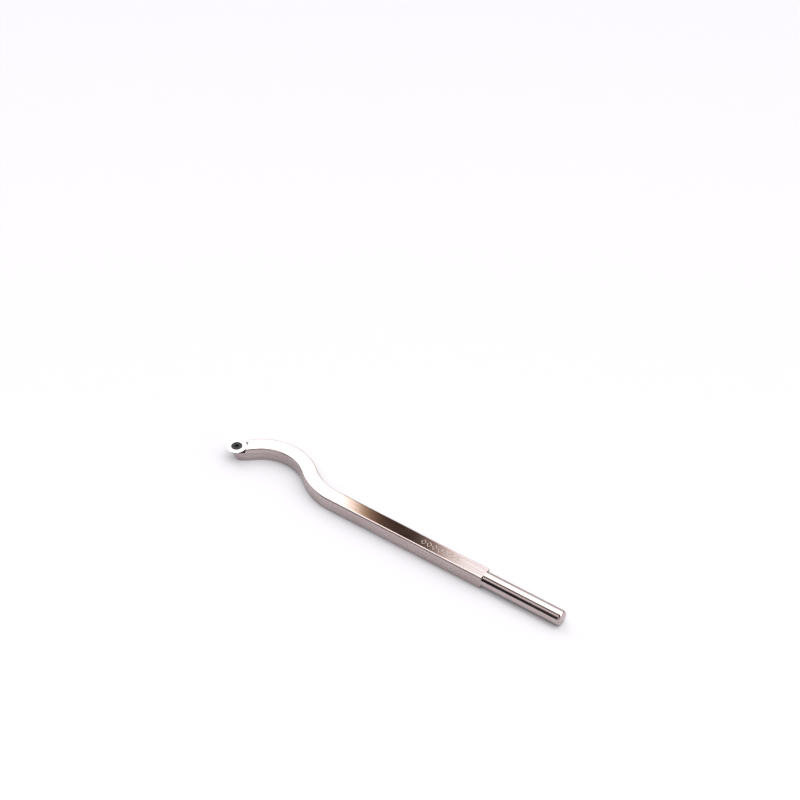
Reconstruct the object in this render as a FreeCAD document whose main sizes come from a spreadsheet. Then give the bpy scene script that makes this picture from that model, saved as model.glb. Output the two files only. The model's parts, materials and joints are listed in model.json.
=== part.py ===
# A swan-neck hollowing tool for wood turning: a square steel bar with a turned tang at one
# end and a flat S-bend at the other, which carries a round carbide cutter on a milled seat.
# A countersunk screw with a six-lobed socket holds the cutter.
#
# Frame, in millimetres: the origin is on the tang's axis at its shoulder, +X runs along the
# bar towards the cutter, +Z is up, out of the cutter's face. The neck swings out to -Y and
# comes back, so that the cutter's centre lies on the tang's axis.

import FreeCAD, Part
import math
import os

import Sketcher
from FreeCAD import Placement, Rotation, Vector

os.makedirs("parts", exist_ok=True)
doc = FreeCAD.newDocument("hollowing_tool")

# ---------------------------------------------------------------- driving dimensions

SIZES = {
    # bar and neck
    "bar_width": 12.7,            # square bar, across its flats
    "bar_edge_radius": 1.5,       # rounding along the four long edges
    "straight_length": 146.0,     # shoulder to the start of the neck
    "bend_out_radius": 50.0,      # first bend, on the centreline
    "bend_out_angle": 39.5,
    "bend_back_radius": 43.0,     # second bend, on the centreline
    "nose_angle": 43.5,           # the nose's heading, from the bar's own line
    # tang
    "tang_diameter": 12.6,
    "tang_length": 70.0,
    "tang_end_radius": 2.0,       # rounding of the tang's free end
    # cutter
    "cutter_diameter": 16.0,      # over the cutting edge
    "cutter_thickness": 3.0,
    "cutter_flank_angle": 30.0,   # from upright, inwards below the edge
    # screw
    "screw_diameter": 5.0,
    "screw_length": 8.0,          # over all, with its head
    "screw_tip_chamfer": 0.6,
    "head_diameter": 9.4,
    "head_rim": 0.4,              # upright rim above the cone
    "head_cone_angle": 45.0,      # half of the 90 degree countersink
    "socket_core": 3.4,           # across the hollows of the six-lobed socket
    "socket_across": 4.5,         # across its lobes
    "socket_lobe": 1.1,           # diameter of one lobe
    "socket_depth": 1.8,
    # seat and nose
    "seat_wall_turn": 21.5,       # the seat's back wall, out of square with the nose
    "front_relief": 31.0,         # under the cutting edge at the very front, from upright
    "side_relief": 7.0,           # and on the nose's two sides
    "relief_run": 13.0,           # how far behind the cutter's centre the relief starts
    "nose_inset": 0.07,           # the nose, inside the cutter's lower rim
    # shallow engraved row of open lozenges on the bar's upper face
    "mark_start": 26.0,           # shoulder to the first lozenge's centre
    "mark_pitch": 5.2,
    "mark_count": 7,
    "mark_length": 4.6,           # along the bar
    "mark_width": 5.6,            # across it
    "mark_line": 0.55,            # width of the engraved line
    "mark_depth": 0.25,
    # clearances
    "cutter_drop": 0.2,           # the cutter's face, below the bar's upper face
    "seat_gap": 0.3,              # the cutter's edge to the seat's back wall
    "head_drop": 0.1,             # the screw's head, below the cutter's face
    "head_gap": 0.1,              # the head's rim and cone to the countersink
    "bore_gap": 0.3,              # screw to the cutter's bore, on the radius
    "thread_gap": 0.05,           # screw to tapped hole, on the radius
    "cut_over": 0.5,              # how far a cut runs past the face it opens
}

sheet = doc.addObject("Spreadsheet::Sheet", "sizes")
for row, (name, value) in enumerate(SIZES.items(), start=1):
    sheet.set("A%d" % row, name)
    sheet.set("B%d" % row, str(value))
    sheet.setAlias("B%d" % row, name)
doc.recompute()


def size(name):
    return float(sheet.get(name))


def bind(text):
    """Turn names of sizes in braces into references to the sheet's cells."""
    for name in SIZES:
        text = text.replace("{%s}" % name, "sizes." + name)
    return text


# Lengths and places that follow from the sizes, as expressions for the document.
HALF_BAR = bind("{bar_width} / 2")
SEAT_DEPTH = bind("({cutter_thickness} + {cutter_drop})")
SEAT_LEVEL = "(%s - %s)" % (HALF_BAR, SEAT_DEPTH)
FLANK_INSET = bind("{cutter_thickness} * tan({cutter_flank_angle})")
NOSE_RADIUS = bind("({cutter_diameter} / 2 - %s - {nose_inset})" % FLANK_INSET)
TIP_RUN = NOSE_RADIUS + bind(" + {cut_over}")
NECK_OFFSET = bind("({bend_out_radius} * (1 - cos({bend_out_angle}))"
                   " + {bend_back_radius} * (cos({nose_angle}) - cos({bend_out_angle})))")
CUTTER_X = bind("({straight_length} + {bend_out_radius} * sin({bend_out_angle})"
                " + {bend_back_radius} * (sin({bend_out_angle}) + sin({nose_angle}))"
                " + %s / tan({nose_angle}))" % NECK_OFFSET)
HEAD_RADIUS = bind("{head_diameter} / 2")
HEAD_CONE = bind("(({head_diameter} - {screw_diameter}) / 2 / tan({head_cone_angle}))")

# ---------------------------------------------------------------- helpers

START, END, CENTRE = 1, 2, 3      # Sketcher's numbers for the points of a line or an arc
X_AXIS, Y_AXIS = -1, -2           # and for its own axes, whose START is the origin
ORIGIN = X_AXIS


def new_body(label):
    body = doc.addObject("PartDesign::Body", label)
    body.Label = label
    return body


def plane(body, role):
    return next(item for item in body.Origin.OriginFeatures if item.Role == role)


def new_sketch(body, name, role, offset=None):
    """A sketch on one of the body's own origin planes. offset binds parts of its place."""
    sketch = body.newObject("Sketcher::SketchObject", name)
    sketch.AttachmentSupport = [(plane(body, role), "")]
    sketch.MapMode = "FlatFace"
    for prop, expression in (offset or {}).items():
        sketch.setExpression("AttachmentOffset." + prop, expression)
    return sketch


def dimension(sketch, kind, *args, name, expression, value):
    """Add a driving constraint at its first value, then bind it to the sheet."""
    index = sketch.addConstraint(Sketcher.Constraint(kind, *args, value))
    sketch.renameConstraint(index, name)
    sketch.setExpression("Constraints." + name, expression)


def polygon(sketch, points):
    """Closed outline of straight lines through points; returns the first line's index."""
    first = sketch.GeometryCount
    count = len(points)
    for i, start in enumerate(points):
        end = points[(i + 1) % count]
        sketch.addGeometry(Part.LineSegment(Vector(*start, 0), Vector(*end, 0)), False)
    for i in range(count):
        following = first + (i + 1) % count
        sketch.addConstraint(Sketcher.Constraint("Coincident", first + i, END, following, START))
    return first


def place_point(sketch, line, point, x, y, name):
    """Give a point its two coordinates, each an (expression, value) pair; None means zero."""
    if x is None:
        sketch.addConstraint(Sketcher.Constraint("PointOnObject", line, point, Y_AXIS))
    else:
        dimension(sketch, "DistanceX", ORIGIN, START, line, point,
                  name=name + "_x", expression=x[0], value=x[1])
    if y is None:
        sketch.addConstraint(Sketcher.Constraint("PointOnObject", line, point, X_AXIS))
    else:
        dimension(sketch, "DistanceY", ORIGIN, START, line, point,
                  name=name + "_y", expression=y[0], value=y[1])


def worked_out(expression):
    """The present value of an expression, for a first place that the solver then keeps."""
    return float(sheet.evalExpression(expression))


def profile(body, name, role, points):
    """Closed outline whose corners are all bound: each is (x expression, y expression)."""
    sketch = new_sketch(body, name, role)
    values = [(worked_out(x), worked_out(y)) for x, y in points]
    first = polygon(sketch, values)
    for i, ((x, y), (x_value, y_value)) in enumerate(zip(points, values)):
        place_point(sketch, first + i, START,
                    None if x == "0" else (x, x_value),
                    None if y == "0" else (y, y_value), "corner%d" % i)
    return sketch


def revolve(body, name, sketch, axis):
    feature = body.newObject("PartDesign::Revolution", name)
    feature.Profile = (sketch, [""])
    feature.ReferenceAxis = (sketch, [axis])
    feature.Angle = 360
    return feature


def pocket(body, name, sketch, depth=None):
    """A cut down from the sketch, or right through both ways when no depth is given."""
    doc.recompute()
    before = body.Shape.Volume
    feature = body.newObject("PartDesign::Pocket", name)
    feature.Profile = (sketch, [""])
    if depth is None:
        feature.Type = "ThroughAll"
        feature.Midplane = True
    else:
        feature.setExpression("Length", depth)
    doc.recompute()
    if feature.Shape.Volume >= before:
        raise RuntimeError(name + " cuts nothing")
    return feature


# ---------------------------------------------------------------- bar with tang


def neck_path(body):
    """Centreline: straight bar, bend out to -Y, bend back, and the nose's straight run."""
    path = new_sketch(body, "neck_path", "XY_Plane")
    straight, turn_out = size("straight_length"), math.radians(size("bend_out_angle"))
    out_radius, back_radius = size("bend_out_radius"), size("bend_back_radius")
    heading = math.radians(size("nose_angle"))
    out_centre = Vector(straight, -out_radius, 0)
    joint = out_centre + Vector(math.sin(turn_out), math.cos(turn_out), 0) * out_radius
    back_centre = joint + Vector(math.sin(turn_out), math.cos(turn_out), 0) * back_radius
    nose_start = back_centre + Vector(math.sin(heading), -math.cos(heading), 0) * back_radius
    cutter_centre = Vector(worked_out(CUTTER_X), 0, 0)
    tip_run = worked_out(TIP_RUN)
    tip = cutter_centre + Vector(math.cos(heading), math.sin(heading), 0) * tip_run

    bar_line = path.addGeometry(Part.LineSegment(Vector(0, 0, 0), Vector(straight, 0, 0)), False)
    bend_out = path.addGeometry(Part.ArcOfCircle(
        Part.Circle(out_centre, Vector(0, 0, 1), out_radius),
        math.pi / 2 - turn_out, math.pi / 2), False)
    bend_back = path.addGeometry(Part.ArcOfCircle(
        Part.Circle(back_centre, Vector(0, 0, 1), back_radius),
        1.5 * math.pi - turn_out, 1.5 * math.pi + heading), False)
    nose_line = path.addGeometry(Part.LineSegment(nose_start, tip), False)
    centre_mark = path.addGeometry(Part.Point(cutter_centre), True)

    add = path.addConstraint
    add(Sketcher.Constraint("Coincident", bar_line, START, ORIGIN, START))
    add(Sketcher.Constraint("Horizontal", bar_line))
    add(Sketcher.Constraint("Tangent", bar_line, END, bend_out, END))
    add(Sketcher.Constraint("Tangent", bend_out, START, bend_back, START))
    add(Sketcher.Constraint("Tangent", bend_back, END, nose_line, START))
    add(Sketcher.Constraint("PointOnObject", centre_mark, START, nose_line))
    add(Sketcher.Constraint("PointOnObject", centre_mark, START, X_AXIS))
    dimension(path, "Distance", bar_line, name="straight",
              expression=bind("{straight_length}"), value=straight)
    dimension(path, "Radius", bend_out, name="out_radius",
              expression=bind("{bend_out_radius}"), value=out_radius)
    dimension(path, "Angle", bend_out, name="out_angle",
              expression=bind("{bend_out_angle} * 1 deg"), value=turn_out)
    dimension(path, "Radius", bend_back, name="back_radius",
              expression=bind("{bend_back_radius}"), value=back_radius)
    dimension(path, "Angle", X_AXIS, START, nose_line, START, name="heading",
              expression=bind("{nose_angle} * 1 deg"), value=heading)
    dimension(path, "Distance", centre_mark, START, nose_line, END, name="tip_run",
              expression=TIP_RUN, value=tip_run)
    return path


def bar_section(body):
    """Square with rounded corners, centred on the tang's axis."""
    section = new_sketch(body, "bar_section", "YZ_Plane")
    half, radius = size("bar_width") / 2, size("bar_edge_radius")
    flat = half - radius
    corners = [(flat, flat), (-flat, flat), (-flat, -flat), (flat, -flat)]
    arcs = []
    for i, (x, y) in enumerate(corners):
        circle = Part.Circle(Vector(x, y, 0), Vector(0, 0, 1), radius)
        start = i * math.pi / 2
        arcs.append(section.addGeometry(Part.ArcOfCircle(circle, start, start + math.pi / 2), False))
    sides = []
    for i in range(4):
        this_corner, next_corner = corners[i], corners[(i + 1) % 4]
        turn = (i + 1) * math.pi / 2
        out = Vector(math.cos(turn), math.sin(turn), 0) * radius
        line = Part.LineSegment(Vector(*this_corner, 0) + out, Vector(*next_corner, 0) + out)
        sides.append(section.addGeometry(line, False))
    add = section.addConstraint
    for i in range(4):
        add(Sketcher.Constraint("Tangent", arcs[i], END, sides[i], START))
        add(Sketcher.Constraint("Tangent", sides[i], END, arcs[(i + 1) % 4], START))
    for i in range(3):
        add(Sketcher.Constraint("Equal", arcs[i], arcs[i + 1]))
    for side, kind in zip(sides, ("Horizontal", "Vertical", "Horizontal", "Vertical")):
        add(Sketcher.Constraint(kind, side))
    add(Sketcher.Constraint("Equal", sides[0], sides[1]))
    add(Sketcher.Constraint("Symmetric", arcs[0], CENTRE, arcs[2], CENTRE, ORIGIN, START))
    dimension(section, "Radius", arcs[0], name="edge_radius",
              expression=bind("{bar_edge_radius}"), value=radius)
    dimension(section, "Distance", sides[0], name="flat",
              expression=bind("{bar_width} - 2 * {bar_edge_radius}"), value=2 * flat)
    return section


def tang(body):
    """Round tang turned on the bar's axis, with a rounded free end."""
    sketch = new_sketch(body, "tang_outline", "XY_Plane")
    reach, radius = bind("{tang_length}"), bind("{tang_diameter} / 2")
    over, end_radius = bind("{cut_over}"), bind("{tang_end_radius}")
    reach_value, radius_value = worked_out(reach), worked_out(radius)
    over_value, end_value = worked_out(over), worked_out(end_radius)
    flat_end = Vector(-reach_value, radius_value - end_value, 0)
    round_start = Vector(-reach_value + end_value, radius_value, 0)
    corners = [round_start, Vector(over_value, radius_value, 0), Vector(over_value, 0, 0),
               Vector(-reach_value, 0, 0), flat_end]
    side, root, axis, end = [sketch.addGeometry(Part.LineSegment(a, b), False)
                             for a, b in zip(corners, corners[1:])]
    rounding = sketch.addGeometry(Part.ArcOfCircle(
        Part.Circle(Vector(round_start.x, flat_end.y, 0), Vector(0, 0, 1), end_value),
        math.pi / 2, math.pi), False)
    add = sketch.addConstraint
    for line, following in ((side, root), (root, axis), (axis, end)):
        add(Sketcher.Constraint("Coincident", line, END, following, START))
    add(Sketcher.Constraint("Tangent", rounding, START, side, START))
    add(Sketcher.Constraint("Tangent", rounding, END, end, END))
    for line, kind in ((side, "Horizontal"), (root, "Vertical"), (end, "Vertical")):
        add(Sketcher.Constraint(kind, line))
    dimension(sketch, "Radius", rounding, name="end_radius", expression=end_radius, value=end_value)
    dimension(sketch, "DistanceY", ORIGIN, START, side, END, name="tang_radius",
              expression=radius, value=radius_value)
    place_point(sketch, axis, START, (over, over_value), None, "inside_bar")
    place_point(sketch, axis, END, ("-" + reach, -reach_value), None, "free_end")
    revolve(body, "tang", sketch, "H_Axis")


def at_cutter(level, turn=None):
    """Where a sketch of the seat or nose lies: centred on the cutter's axis, at a level."""
    place = {"Base.x": CUTTER_X, "Base.z": level}
    if turn is not None:
        place["Rotation.Angle"] = turn
    return place


def seat(body):
    """Level floor for the cutter, open at the front and both sides, with a straight wall."""
    turn = bind("({nose_angle} - {seat_wall_turn}) * 1 deg")
    sketch = new_sketch(body, "seat_outline", "XY_Plane", at_cutter(HALF_BAR, turn))
    wall = bind("({cutter_diameter} / 2 + {seat_gap})")
    reach = bind("({cutter_diameter} + {bar_width})")
    wall_value, reach_value = worked_out(wall), worked_out(reach)
    corners = [(-wall_value, -reach_value), (reach_value, -reach_value),
               (reach_value, reach_value), (-wall_value, reach_value)]
    first = polygon(sketch, corners)
    for i, kind in enumerate(("Horizontal", "Vertical", "Horizontal", "Vertical")):
        sketch.addConstraint(Sketcher.Constraint(kind, first + i))
    place_point(sketch, first, START, ("-" + wall, -wall_value), ("-" + reach, -reach_value), "back")
    place_point(sketch, first + 2, START, (reach, reach_value), (reach, reach_value), "front")
    pocket(body, "seat", sketch, SEAT_DEPTH)


def relief_outline(body, name, level, nose_radius, nose_back):
    """Everything outside the nose at one level: a U that the relief leaves the nose inside.

    nose_back is how far the rounded front's centre lies behind the cutter's axis.
    """
    sketch = new_sketch(body, name, "XY_Plane",
                        at_cutter(level, bind("{nose_angle} * 1 deg")))
    run = bind("{relief_run}")
    back = bind("({bar_width} / 2 + {cut_over} / 2)")
    outer = bind("({cutter_diameter} + {bar_width})")
    run_value, back_value = worked_out(run), worked_out(back)
    outer_value, radius = worked_out(outer), worked_out(nose_radius)
    shift = worked_out(nose_back)
    # the straight flanks run from the back corners to touch the nose's arc
    centre_run = run_value - shift
    touch = (math.pi - math.atan2(back_value, centre_run)
             - math.acos(radius / math.hypot(centre_run, back_value)))
    touch_point = Vector(radius * math.cos(touch) - shift, radius * math.sin(touch), 0)
    other_point = Vector(touch_point.x, -touch_point.y, 0)
    corners = [Vector(-run_value, back_value, 0), Vector(-run_value, outer_value, 0),
               Vector(outer_value, outer_value, 0), Vector(outer_value, -outer_value, 0),
               Vector(-run_value, -outer_value, 0), Vector(-run_value, -back_value, 0),
               other_point]
    lines = [sketch.addGeometry(Part.LineSegment(a, b), False)
             for a, b in zip(corners, corners[1:])]
    arc = sketch.addGeometry(Part.ArcOfCircle(
        Part.Circle(Vector(-shift, 0, 0), Vector(0, 0, 1), radius), -touch, touch), False)
    closing = sketch.addGeometry(Part.LineSegment(touch_point, corners[0]), False)
    add = sketch.addConstraint
    for line, following in zip(lines, lines[1:]):
        add(Sketcher.Constraint("Coincident", line, END, following, START))
    add(Sketcher.Constraint("Coincident", closing, END, lines[0], START))
    add(Sketcher.Constraint("Tangent", lines[-1], END, arc, START))
    add(Sketcher.Constraint("Tangent", arc, END, closing, START))
    place_point(sketch, arc, CENTRE, ("-(%s)" % nose_back, -shift), None, "nose_centre")
    for line, kind in zip(lines, ("Vertical", "Horizontal", "Vertical", "Horizontal")):
        add(Sketcher.Constraint(kind, line))
    dimension(sketch, "Radius", arc, name="nose", expression=nose_radius, value=radius)
    place_point(sketch, lines[0], START, ("-" + run, -run_value), (back, back_value), "back_left")
    place_point(sketch, lines[5], START, ("-" + run, -run_value), ("-" + back, -back_value),
                "back_right")
    place_point(sketch, lines[2], START, (outer, outer_value), (outer, outer_value), "front_left")
    place_point(sketch, lines[4], START, ("-" + run, -run_value), ("-" + outer, -outer_value),
                "outer_right")
    return sketch


def relief(body):
    """Round the nose under the cutter and draw it in towards the underside."""
    over = bind("{cut_over}")
    side = bind("tan({side_relief})")
    lean = bind("(tan({front_relief}) - tan({side_relief}))")
    upper = relief_outline(body, "relief_upper", "%s + %s" % (SEAT_LEVEL, over),
                           "%s + %s * %s" % (NOSE_RADIUS, over, side),
                           "-%s * %s" % (over, lean))
    drop = "(%s + %s + %s)" % (SEAT_LEVEL, HALF_BAR, over)
    lower = relief_outline(body, "relief_lower", "-%s - %s" % (HALF_BAR, over),
                           "%s - %s * %s" % (NOSE_RADIUS, drop, side),
                           "%s * %s" % (drop, lean))
    doc.recompute()
    before = body.Shape.Volume
    loft = body.newObject("PartDesign::SubtractiveLoft", "nose_relief")
    loft.Profile = (upper, [""])
    loft.Sections = [(lower, [""])]
    loft.Ruled = True
    doc.recompute()
    if loft.Shape.Volume >= before:
        raise RuntimeError("nose_relief cuts nothing")


def tapped_hole(body):
    sketch = new_sketch(body, "hole_outline", "XY_Plane", at_cutter("0"))
    radius = bind("{screw_diameter} / 2 + {thread_gap}")
    circle = sketch.addGeometry(
        Part.Circle(Vector(0, 0, 0), Vector(0, 0, 1), worked_out(radius)), False)
    sketch.addConstraint(Sketcher.Constraint("Coincident", circle, CENTRE, ORIGIN, START))
    dimension(sketch, "Radius", circle, name="hole", expression=radius, value=worked_out(radius))
    pocket(body, "tapped_hole", sketch)


def engraved_row(body):
    """A plain row of shallow, open lozenges along the middle of the bar's upper face."""
    sketch = new_sketch(body, "lozenge", "XY_Plane",
                        {"Base.x": bind("{mark_start}"), "Base.z": HALF_BAR})
    along, across = bind("{mark_length} / 2"), bind("{mark_width} / 2")
    slant = "sqrt((%s)^2 + (%s)^2)" % (along, across)
    inner_along = "(%s - %s * %s / (%s))" % (along, bind("{mark_line}"), slant, across)
    inner_across = "(%s - %s * %s / (%s))" % (across, bind("{mark_line}"), slant, along)
    for name, reach, rise in (("outer", along, across), ("inner", inner_along, inner_across)):
        x, y = worked_out(reach), worked_out(rise)
        first = polygon(sketch, [(x, 0), (0, y), (-x, 0), (0, -y)])
        place_point(sketch, first, START, (reach, x), None, name + "_right")
        place_point(sketch, first + 1, START, None, (rise, y), name + "_upper")
        place_point(sketch, first + 2, START, ("-(%s)" % reach, -x), None, name + "_left")
        place_point(sketch, first + 3, START, None, ("-(%s)" % rise, -y), name + "_lower")
    cut = pocket(body, "lozenge_cut", sketch, bind("{mark_depth}"))
    row = body.newObject("PartDesign::LinearPattern", "lozenge_row")
    row.Originals = [cut]
    row.Direction = (sketch, ["H_Axis"])
    row.setExpression("Length", bind("{mark_pitch} * ({mark_count} - 1)"))
    row.setExpression("Occurrences", bind("{mark_count}"))
    body.Tip = row


def tool_bar():
    body = new_body("tool_bar")
    section = bar_section(body)
    path = neck_path(body)
    bar = body.newObject("PartDesign::AdditivePipe", "bent_bar")
    bar.Profile = (section, [""])
    bar.Spine = (path, ["Edge%d" % (i + 1) for i in range(4)])
    doc.recompute()
    tang(body)
    seat(body)
    relief(body)
    tapped_hole(body)
    engraved_row(body)
    return body


# ---------------------------------------------------------------- cutter and screw


def stand_on_cutter_axis(body, level):
    body.setExpression("Placement.Base.x", CUTTER_X)
    body.setExpression("Placement.Base.z", level)


def round_cutter():
    """Carbide disc: sharp upper rim, flank drawn in below it, countersunk bore."""
    body = new_body("round_cutter")
    bore = bind("({screw_diameter} / 2 + {bore_gap})")
    top = bind("{cutter_thickness}")
    mouth = HEAD_RADIUS + bind(" + {head_gap}")
    rim_foot = bind("{cutter_thickness} - {head_drop} - {head_rim}")
    cone_foot = "%s - (%s - %s) / %s" % (rim_foot, mouth, bore, bind("tan({head_cone_angle})"))
    outline = profile(body, "cutter_outline", "XZ_Plane", [
        (bore, "0"),
        (bind("{cutter_diameter} / 2") + " - " + FLANK_INSET, "0"),
        (bind("{cutter_diameter} / 2"), top),
        (mouth, top),
        (mouth, rim_foot),
        (bore, cone_foot),
    ])
    revolve(body, "disc", outline, "V_Axis")
    stand_on_cutter_axis(body, SEAT_LEVEL)
    return body


def cutter_screw():
    """Countersunk screw; its own origin is in the middle of its head's upper face."""
    body = new_body("cutter_screw")
    shank = bind("{screw_diameter} / 2")
    rim_foot = bind("-{head_rim}")
    cone_foot = "%s - %s" % (rim_foot, HEAD_CONE)
    tip = bind("-{screw_length}")
    outline = profile(body, "screw_outline", "XZ_Plane", [
        ("0", "0"),
        ("0", tip),
        (shank + bind(" - {screw_tip_chamfer}"), tip),
        (shank, tip + bind(" + {screw_tip_chamfer}")),
        (shank, cone_foot),
        (HEAD_RADIUS, rim_foot),
        (HEAD_RADIUS, "0"),
    ])
    revolve(body, "blank", outline, "V_Axis")

    core = new_sketch(body, "socket_core", "XY_Plane")
    circle = core.addGeometry(
        Part.Circle(Vector(0, 0, 0), Vector(0, 0, 1), size("socket_core") / 2), False)
    core.addConstraint(Sketcher.Constraint("Coincident", circle, CENTRE, ORIGIN, START))
    dimension(core, "Diameter", circle, name="core",
              expression=bind("{socket_core}"), value=size("socket_core"))
    pocket(body, "socket", core, bind("{socket_depth}"))

    lobe = new_sketch(body, "socket_lobe", "XY_Plane")
    reach = (size("socket_across") - size("socket_lobe")) / 2
    circle = lobe.addGeometry(
        Part.Circle(Vector(reach, 0, 0), Vector(0, 0, 1), size("socket_lobe") / 2), False)
    dimension(lobe, "Diameter", circle, name="lobe",
              expression=bind("{socket_lobe}"), value=size("socket_lobe"))
    place_point(lobe, circle, CENTRE,
                (bind("({socket_across} - {socket_lobe}) / 2"), reach), None, "lobe")
    cut = pocket(body, "lobe_cut", lobe, bind("{socket_depth}"))
    lobes = body.newObject("PartDesign::PolarPattern", "lobes")
    lobes.Originals = [cut]
    lobes.Axis = (lobe, ["N_Axis"])
    lobes.Angle = 360
    lobes.Occurrences = 6
    body.Tip = lobes
    stand_on_cutter_axis(body, HALF_BAR + bind(" - {cutter_drop} - {head_drop}"))
    return body


# ---------------------------------------------------------------- build, test and write

nodes = [tool_bar(), round_cutter(), cutter_screw()]
doc.recompute()

failed = [item.Label for item in doc.Objects if {"Invalid", "Error"} & set(item.State)]
if failed:
    raise RuntimeError("failed objects: " + ", ".join(failed))

for node in nodes:
    shape = node.Shape
    if shape.isNull() or not shape.isValid() or len(shape.Solids) != 1:
        raise RuntimeError(node.Label + " is not one valid solid")
    shape.exportStep("parts/%s.step" % node.Label)
    box = shape.BoundBox
    print("%-13s volume %9.2f mm3, x %.2f..%.2f, y %.2f..%.2f, z %.2f..%.2f" % (
        node.Label, shape.Volume, box.XMin, box.XMax, box.YMin, box.YMax, box.ZMin, box.ZMax))
print("cutter centre at x = %.3f mm" % worked_out(CUTTER_X))
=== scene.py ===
# %% [markdown]
# # A swan-neck hollowing tool
#
# This is a wood turner's tool: a square steel bar with a round tang for a handle, a flat
# S-bend at the other end, and a round carbide cutter held by one black screw. The lesson
# models its three pieces round the frame that the CAD model gives, finishes them in ground
# steel, polished carbide and black oxide, and lights them as a small studio would.

# %% Load the frame
import json
import math

import bmesh
import bpy
import numpy as np
from mathutils import Matrix, Vector

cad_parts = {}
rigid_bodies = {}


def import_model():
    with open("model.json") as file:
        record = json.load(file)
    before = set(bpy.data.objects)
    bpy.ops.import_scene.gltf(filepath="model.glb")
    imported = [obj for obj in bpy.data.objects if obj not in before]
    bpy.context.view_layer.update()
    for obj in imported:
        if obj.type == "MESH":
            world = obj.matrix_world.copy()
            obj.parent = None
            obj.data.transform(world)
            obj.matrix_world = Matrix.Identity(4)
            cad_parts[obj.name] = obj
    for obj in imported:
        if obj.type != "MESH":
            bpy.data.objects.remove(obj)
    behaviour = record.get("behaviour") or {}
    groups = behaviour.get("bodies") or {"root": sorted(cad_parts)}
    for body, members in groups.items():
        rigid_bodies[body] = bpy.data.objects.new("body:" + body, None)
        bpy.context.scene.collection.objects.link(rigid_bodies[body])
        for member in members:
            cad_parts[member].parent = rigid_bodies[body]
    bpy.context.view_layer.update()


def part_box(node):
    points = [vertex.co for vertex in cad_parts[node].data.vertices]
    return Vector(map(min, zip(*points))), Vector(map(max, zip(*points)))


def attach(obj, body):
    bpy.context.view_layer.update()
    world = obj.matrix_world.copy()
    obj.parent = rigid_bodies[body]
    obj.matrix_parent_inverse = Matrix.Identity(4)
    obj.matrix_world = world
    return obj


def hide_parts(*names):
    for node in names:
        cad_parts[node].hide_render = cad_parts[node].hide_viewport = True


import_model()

# %% [markdown]
# ## Sizes
#
# Everything is in metres, in the CAD model's own frame: +X runs along the bar from the
# tang's shoulder to the cutter, and +Z points up out of the cutter's face. What can be read
# from the frame is read from it. The neck's radii and angles can't be, so they are named
# here, and they are the same as the bar was designed with.

# %% Sizes read from the frame
MM = 0.001
bar_low, bar_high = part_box("tool_bar")
cutter_low, cutter_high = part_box("round_cutter")
screw_low, screw_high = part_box("cutter_screw")

half_bar = bar_high.z
tang_end = bar_low.x
cutter_x = (cutter_low.x + cutter_high.x) / 2
cutter_radius = (cutter_high.y - cutter_low.y) / 2
seat_level = cutter_low.z
cutter_top = cutter_high.z
head_radius = (screw_high.y - screw_low.y) / 2
print("cutter centre at x = %.4f m, seat at z = %.5f m" % (cutter_x, seat_level))

# %% Sizes of the neck, the nose and the screw
STRAIGHT = 146.0 * MM
OUT_RADIUS, OUT_ANGLE = 50.0 * MM, math.radians(39.5)
BACK_RADIUS, NOSE_ANGLE = 43.0 * MM, math.radians(43.5)
EDGE_RADIUS = 1.5 * MM
TANG_RADIUS, TANG_ROUNDING = 6.3 * MM, 2.0 * MM
SEAT_WALL_TURN, SEAT_GAP = math.radians(21.5), 0.3 * MM
FRONT_RELIEF, SIDE_RELIEF = math.radians(31.0), math.radians(7.0)
RELIEF_RUN, NOSE_INSET = 13.0 * MM, 0.07 * MM
FLANK_ANGLE = math.radians(30.0)
SHANK_RADIUS, HOLE_RADIUS, BORE_RADIUS = 2.5 * MM, 2.55 * MM, 2.8 * MM
HEAD_RIM, MOUTH_GAP = 0.4 * MM, 0.1 * MM
THREAD_PITCH, THREAD_DEPTH = 0.8 * MM, 0.42 * MM

heading = Vector((math.cos(NOSE_ANGLE), math.sin(NOSE_ANGLE), 0))
out_centre = Vector((STRAIGHT, -OUT_RADIUS, 0))
radial = Vector((math.sin(OUT_ANGLE), math.cos(OUT_ANGLE), 0))
joint = out_centre + radial * OUT_RADIUS
back_centre = joint + radial * BACK_RADIUS
nose_start = back_centre + Vector((heading.y, -heading.x, 0)) * BACK_RADIUS
cutter_centre = Vector((cutter_x, 0, 0))
nose_run = (cutter_centre - nose_start).length
flank_inset = (cutter_top - seat_level) * math.tan(FLANK_ANGLE)
nose_radius = cutter_radius - flank_inset - NOSE_INSET
print("nose runs %.2f mm straight to the cutter's centre" % (nose_run / MM))

# %% [markdown]
# ## Small helpers for modelling as by hand
#
# An operator works on all that is selected, and a fresh primitive comes in selected over
# whatever was selected before. So each step starts from nothing selected, and faces or edges
# are then picked by where they are or how they face, as a person picks them with the mouse.

# %% Selection and edit-mode helpers


def start_clean():
    """Leave edit mode and deselect everything."""
    if bpy.context.mode != "OBJECT":
        bpy.ops.object.mode_set(mode="OBJECT")
    bpy.ops.object.select_all(action="DESELECT")


def only(piece):
    """Make one object the selected and active one."""
    start_clean()
    piece.select_set(True)
    bpy.context.view_layer.objects.active = piece


def named(name):
    """Name the active object and its mesh, and return the object."""
    piece = bpy.context.active_object
    piece.name = name
    piece.data.name = name
    return piece


def edit(piece, kind="FACE"):
    """Go into edit mode on one object with nothing selected."""
    only(piece)
    bpy.ops.object.mode_set(mode="EDIT")
    bpy.ops.mesh.select_mode(type=kind)
    bpy.ops.mesh.select_all(action="DESELECT")


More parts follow.
